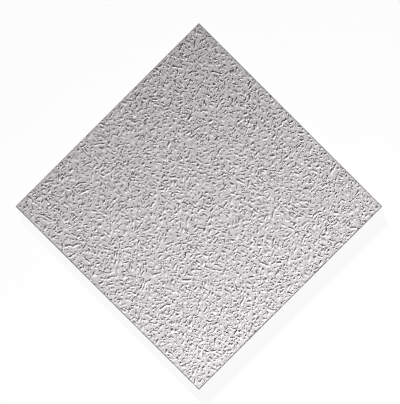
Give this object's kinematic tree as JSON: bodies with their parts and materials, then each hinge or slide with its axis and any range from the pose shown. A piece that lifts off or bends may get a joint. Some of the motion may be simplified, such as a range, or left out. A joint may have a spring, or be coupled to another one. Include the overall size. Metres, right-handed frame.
{
  "type": "suspended ceiling tile",
  "caption": "Square mineral fibre tile with a pitted and fissured painted face, plain bevelled edges and a flat back, laid into an exposed ceiling grid.",
  "frame": {"origin": "middle of the flat back of the tile", "axes": "+Z out of the fissured face, X and Y along the edges; in use the tile is turned over, with +Z pointing down into the room"},
  "size_m": [0.595, 0.595, 0.015],
  "materials": {
    "painted_board": "matt light grey paint on pressed mineral fibre board"
  },
  "bodies": {
    "root": {"tile": "painted_board"}
  },
  "joints": []
}
